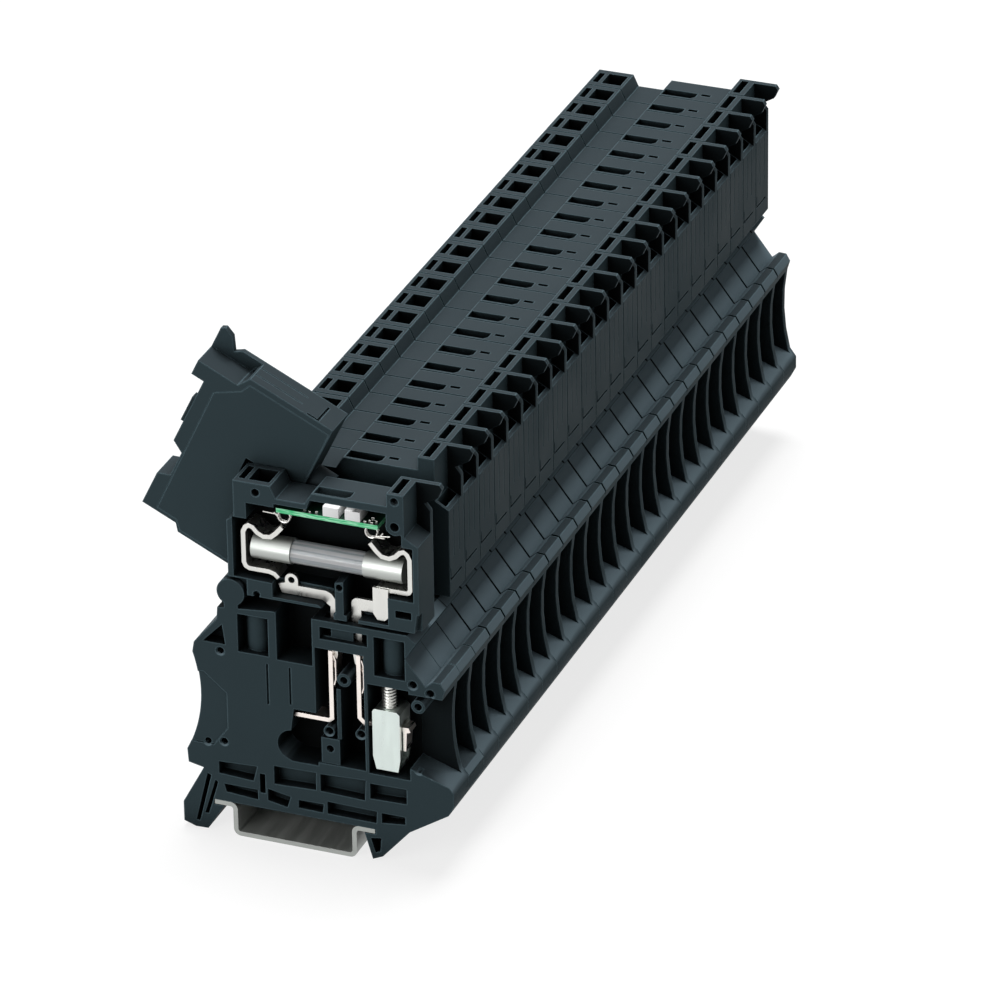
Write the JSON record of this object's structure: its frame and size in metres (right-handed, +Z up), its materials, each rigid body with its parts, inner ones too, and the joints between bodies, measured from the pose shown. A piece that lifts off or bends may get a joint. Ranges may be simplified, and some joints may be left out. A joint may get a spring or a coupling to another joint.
{
  "type": "fuse terminal block",
  "caption": "Row of fuse terminal blocks on a top-hat rail, with hinged fuse levers; the front block is open at its side and shows its fuse, clips, board and screw clamp.",
  "frame": {"origin": "centre of the rail's underside, on the panel's surface", "axes": "+X across the rail towards the wire entries at the right, +Y along the rail away from the open first block, +Z up from the panel"},
  "size_m": [0.0697, 0.205, 0.1071],
  "materials": {
    "zinc_steel": "zinc plated, satin",
    "housing_plastic": "moulded, fine matte",
    "lever_plastic": "moulded, fine matte",
    "nickel": "bright nickel plated",
    "cap_nickel": "nickel plated, satin",
    "tinned_copper": "tin plated copper, bright",
    "clamp_steel": "plated, satin",
    "board_green": "lacquered circuit board",
    "block_white": "smooth white",
    "fuse_glass": "clear, polished"
  },
  "bodies": {
    "row": {"mounting_rail": "zinc_steel", "housing_01": "housing_plastic", "housing_02": "housing_plastic", "housings_03_to_25": "housing_plastic", "contact_leg_left": "tinned_copper", "contact_leg_right": "tinned_copper", "pressure_tongue": "tinned_copper"},
    "fuse_lever_01": {"lever_01": "lever_plastic", "fuse_clip_left": "nickel", "fuse_clip_right": "nickel", "knife_blade_left": "nickel", "knife_blade_right": "nickel", "indicator_board": "board_green", "indicator_block_left": "block_white", "indicator_block_right": "block_white", "contact_spring_left": "nickel", "contact_spring_right": "nickel", "fuse_cap_left": "cap_nickel", "fuse_cap_right": "cap_nickel", "fuse_glass": "fuse_glass", "fuse_wire": "nickel"},
    "fuse_lever_02": {"lever_02": "lever_plastic", "lever_02_cover": "lever_plastic", "knife_blade_02": "nickel"},
    "fuse_lever_03": {"lever_03": "lever_plastic"},
    "fuse_lever_04": {"lever_04": "lever_plastic"},
    "fuse_lever_05": {"lever_05": "lever_plastic"},
    "fuse_lever_06": {"lever_06": "lever_plastic"},
    "fuse_lever_07": {"lever_07": "lever_plastic"},
    "fuse_lever_08": {"lever_08": "lever_plastic"},
    "fuse_lever_09": {"lever_09": "lever_plastic"},
    "fuse_lever_10": {"lever_10": "lever_plastic"},
    "fuse_lever_11": {"lever_11": "lever_plastic"},
    "fuse_lever_12": {"lever_12": "lever_plastic"},
    "fuse_lever_13": {"lever_13": "lever_plastic"},
    "fuse_lever_14": {"lever_14": "lever_plastic"},
    "fuse_lever_15": {"lever_15": "lever_plastic"},
    "fuse_lever_16": {"lever_16": "lever_plastic"},
    "fuse_lever_17": {"lever_17": "lever_plastic"},
    "fuse_lever_18": {"lever_18": "lever_plastic"},
    "fuse_lever_19": {"lever_19": "lever_plastic"},
    "fuse_lever_20": {"lever_20": "lever_plastic"},
    "fuse_lever_21": {"lever_21": "lever_plastic"},
    "fuse_lever_22": {"lever_22": "lever_plastic"},
    "fuse_lever_23": {"lever_23": "lever_plastic"},
    "fuse_lever_24": {"lever_24": "lever_plastic"},
    "fuse_lever_25": {"lever_25": "lever_plastic"},
    "cage": {"clamp_cage": "clamp_steel"},
    "screw": {"clamp_screw": "clamp_steel"}
  },
  "joints": [
    {"name": "lever_hinge_01", "type": "hinge", "parent": "row", "child": "fuse_lever_01", "pos_m": [-0.0125, -0.09845, 0.0562], "axis": [0, -1, 0], "range_deg": [0, 64]},
    {"name": "lever_hinge_02", "type": "hinge", "parent": "row", "child": "fuse_lever_02", "pos_m": [-0.0125, -0.09025, 0.0562], "axis": [0, -1, 0], "range_deg": [-64, 0]},
    {"name": "lever_hinge_03", "type": "hinge", "parent": "row", "child": "fuse_lever_03", "pos_m": [-0.0125, -0.08205, 0.0562], "axis": [0, -1, 0], "range_deg": [0, 64]},
    {"name": "lever_hinge_04", "type": "hinge", "parent": "row", "child": "fuse_lever_04", "pos_m": [-0.0125, -0.07385, 0.0562], "axis": [0, -1, 0], "range_deg": [0, 64]},
    {"name": "lever_hinge_05", "type": "hinge", "parent": "row", "child": "fuse_lever_05", "pos_m": [-0.0125, -0.06565, 0.0562], "axis": [0, -1, 0], "range_deg": [0, 64]},
    {"name": "lever_hinge_06", "type": "hinge", "parent": "row", "child": "fuse_lever_06", "pos_m": [-0.0125, -0.05745, 0.0562], "axis": [0, -1, 0], "range_deg": [0, 64]},
    {"name": "lever_hinge_07", "type": "hinge", "parent": "row", "child": "fuse_lever_07", "pos_m": [-0.0125, -0.04925, 0.0562], "axis": [0, -1, 0], "range_deg": [0, 64]},
    {"name": "lever_hinge_08", "type": "hinge", "parent": "row", "child": "fuse_lever_08", "pos_m": [-0.0125, -0.04105, 0.0562], "axis": [0, -1, 0], "range_deg": [0, 64]},
    {"name": "lever_hinge_09", "type": "hinge", "parent": "row", "child": "fuse_lever_09", "pos_m": [-0.0125, -0.03285, 0.0562], "axis": [0, -1, 0], "range_deg": [0, 64]},
    {"name": "lever_hinge_10", "type": "hinge", "parent": "row", "child": "fuse_lever_10", "pos_m": [-0.0125, -0.02465, 0.0562], "axis": [0, -1, 0], "range_deg": [0, 64]},
    {"name": "lever_hinge_11", "type": "hinge", "parent": "row", "child": "fuse_lever_11", "pos_m": [-0.0125, -0.01645, 0.0562], "axis": [0, -1, 0], "range_deg": [0, 64]},
    {"name": "lever_hinge_12", "type": "hinge", "parent": "row", "child": "fuse_lever_12", "pos_m": [-0.0125, -0.00825, 0.0562], "axis": [0, -1, 0], "range_deg": [0, 64]},
    {"name": "lever_hinge_13", "type": "hinge", "parent": "row", "child": "fuse_lever_13", "pos_m": [-0.0125, -0.00005, 0.0562], "axis": [0, -1, 0], "range_deg": [0, 64]},
    {"name": "lever_hinge_14", "type": "hinge", "parent": "row", "child": "fuse_lever_14", "pos_m": [-0.0125, 0.00815, 0.0562], "axis": [0, -1, 0], "range_deg": [0, 64]},
    {"name": "lever_hinge_15", "type": "hinge", "parent": "row", "child": "fuse_lever_15", "pos_m": [-0.0125, 0.01635, 0.0562], "axis": [0, -1, 0], "range_deg": [0, 64]},
    {"name": "lever_hinge_16", "type": "hinge", "parent": "row", "child": "fuse_lever_16", "pos_m": [-0.0125, 0.02455, 0.0562], "axis": [0, -1, 0], "range_deg": [0, 64]},
    {"name": "lever_hinge_17", "type": "hinge", "parent": "row", "child": "fuse_lever_17", "pos_m": [-0.0125, 0.03275, 0.0562], "axis": [0, -1, 0], "range_deg": [0, 64]},
    {"name": "lever_hinge_18", "type": "hinge", "parent": "row", "child": "fuse_lever_18", "pos_m": [-0.0125, 0.04095, 0.0562], "axis": [0, -1, 0], "range_deg": [0, 64]},
    {"name": "lever_hinge_19", "type": "hinge", "parent": "row", "child": "fuse_lever_19", "pos_m": [-0.0125, 0.04915, 0.0562], "axis": [0, -1, 0], "range_deg": [0, 64]},
    {"name": "lever_hinge_20", "type": "hinge", "parent": "row", "child": "fuse_lever_20", "pos_m": [-0.0125, 0.05735, 0.0562], "axis": [0, -1, 0], "range_deg": [0, 64]},
    {"name": "lever_hinge_21", "type": "hinge", "parent": "row", "child": "fuse_lever_21", "pos_m": [-0.0125, 0.06555, 0.0562], "axis": [0, -1, 0], "range_deg": [0, 64]},
    {"name": "lever_hinge_22", "type": "hinge", "parent": "row", "child": "fuse_lever_22", "pos_m": [-0.0125, 0.07375, 0.0562], "axis": [0, -1, 0], "range_deg": [0, 64]},
    {"name": "lever_hinge_23", "type": "hinge", "parent": "row", "child": "fuse_lever_23", "pos_m": [-0.0125, 0.08195, 0.0562], "axis": [0, -1, 0], "range_deg": [0, 64]},
    {"name": "lever_hinge_24", "type": "hinge", "parent": "row", "child": "fuse_lever_24", "pos_m": [-0.0125, 0.09015, 0.0562], "axis": [0, -1, 0], "range_deg": [0, 64]},
    {"name": "lever_hinge_25", "type": "hinge", "parent": "row", "child": "fuse_lever_25", "pos_m": [-0.0125, 0.09835, 0.0562], "axis": [0, -1, 0], "range_deg": [0, 64]},
    {"name": "screw_turn", "type": "hinge", "parent": "row", "child": "screw", "pos_m": [0.0201, -0.0992, 0.0355], "axis": [0, 0, -1], "range_deg": [-300, 1500]},
    {"name": "cage_lift", "type": "slide", "parent": "row", "child": "cage", "axis": [0, 0, 1], "range_m": [-0.00058, 0.0029]}
  ],
  "couplings": [
    {"joint": "screw_turn", "follows": "cage_lift", "rad_per_m": 8976}
  ]
}
